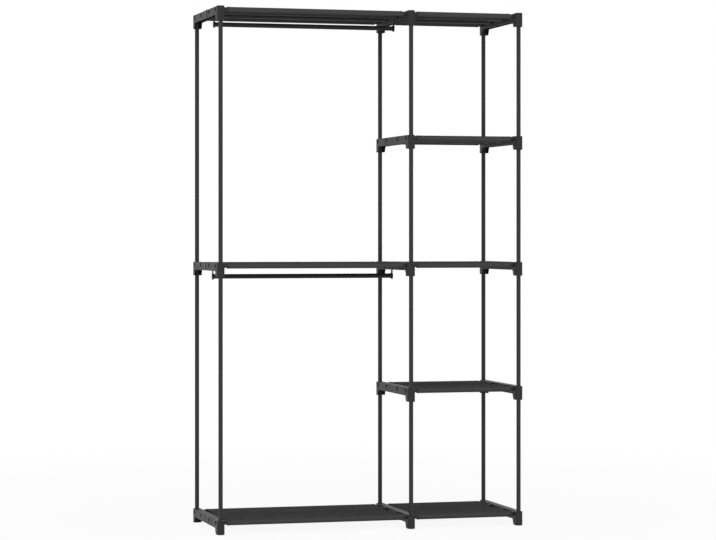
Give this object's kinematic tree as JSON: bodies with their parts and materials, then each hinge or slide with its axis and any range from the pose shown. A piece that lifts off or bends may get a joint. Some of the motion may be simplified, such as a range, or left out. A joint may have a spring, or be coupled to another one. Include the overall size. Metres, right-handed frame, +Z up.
{
  "type": "open wardrobe",
  "caption": "Free-standing open wardrobe: steel posts and tubes in moulded side rails, cloth shelves, and hanging rods in a wide bay beside a narrow shelf bay.",
  "frame": {"origin": "on the floor, under the middle of the footprint", "axes": "+X to the right as seen from the front, with the wide bay on the left; +Y to the back; +Z up"},
  "size_m": [1.0982, 0.42, 1.8004],
  "materials": {
    "rail_plastic": "fine moulded grain",
    "tube_steel": "satin powder coat",
    "rod_steel": "satin powder coat",
    "hanger_steel": "satin powder coat",
    "shelf_cloth": "non-woven cloth",
    "cap_plastic": "satin",
    "foot_plastic": "satin"
  },
  "bodies": {
    "frame": {"side_rail_left_1": "rail_plastic", "side_rail_left_3": "rail_plastic", "side_rail_left_5": "rail_plastic", "side_rail_middle_1": "rail_plastic", "side_rail_middle_2": "rail_plastic", "side_rail_middle_3": "rail_plastic", "side_rail_middle_4": "rail_plastic", "side_rail_middle_5": "rail_plastic", "side_rail_right_1": "rail_plastic", "side_rail_right_2": "rail_plastic", "side_rail_right_3": "rail_plastic", "side_rail_right_4": "rail_plastic", "side_rail_right_5": "rail_plastic", "post_left_front_1": "tube_steel", "post_left_front_2": "tube_steel", "post_left_back_1": "tube_steel", "post_left_back_2": "tube_steel", "post_middle_front_1": "tube_steel", "post_middle_front_2": "tube_steel", "post_middle_front_3": "tube_steel", "post_middle_front_4": "tube_steel", "post_middle_back_1": "tube_steel", "post_middle_back_2": "tube_steel", "post_middle_back_3": "tube_steel", "post_middle_back_4": "tube_steel", "post_right_front_1": "tube_steel", "post_right_front_2": "tube_steel", "post_right_front_3": "tube_steel", "post_right_front_4": "tube_steel", "post_right_back_1": "tube_steel", "post_right_back_2": "tube_steel", "post_right_back_3": "tube_steel", "post_right_back_4": "tube_steel", "shelf_tubes_wide_1": "tube_steel", "shelf_tubes_wide_3": "tube_steel", "shelf_tubes_wide_5": "tube_steel", "shelf_tubes_narrow_1": "tube_steel", "shelf_tubes_narrow_2": "tube_steel", "shelf_tubes_narrow_3": "tube_steel", "shelf_tubes_narrow_4": "tube_steel", "shelf_tubes_narrow_5": "tube_steel", "shelf_cloth_wide_1": "shelf_cloth", "shelf_cloth_wide_3": "shelf_cloth", "shelf_cloth_wide_5": "shelf_cloth", "shelf_cloth_narrow_1": "shelf_cloth", "shelf_cloth_narrow_2": "shelf_cloth", "shelf_cloth_narrow_3": "shelf_cloth", "shelf_cloth_narrow_4": "shelf_cloth", "shelf_cloth_narrow_5": "shelf_cloth", "rod_hanger_lower_left": "hanger_steel", "rod_hanger_lower_middle": "hanger_steel", "rod_hanger_upper_left": "hanger_steel", "rod_hanger_upper_middle": "hanger_steel", "corner_caps": "cap_plastic", "feet": "foot_plastic"},
    "lower_rod": {"hanging_rod_lower": "rod_steel"},
    "upper_rod": {"hanging_rod_upper": "rod_steel"}
  },
  "joints": [
    {"name": "lower_rod_turn", "type": "hinge", "parent": "frame", "child": "lower_rod", "pos_m": [-0.1964, -0.004, 0.876], "axis": [1, 0, 0], "continuous": true},
    {"name": "upper_rod_turn", "type": "hinge", "parent": "frame", "child": "upper_rod", "pos_m": [-0.1964, -0.024, 1.7502], "axis": [1, 0, 0], "continuous": true}
  ]
}
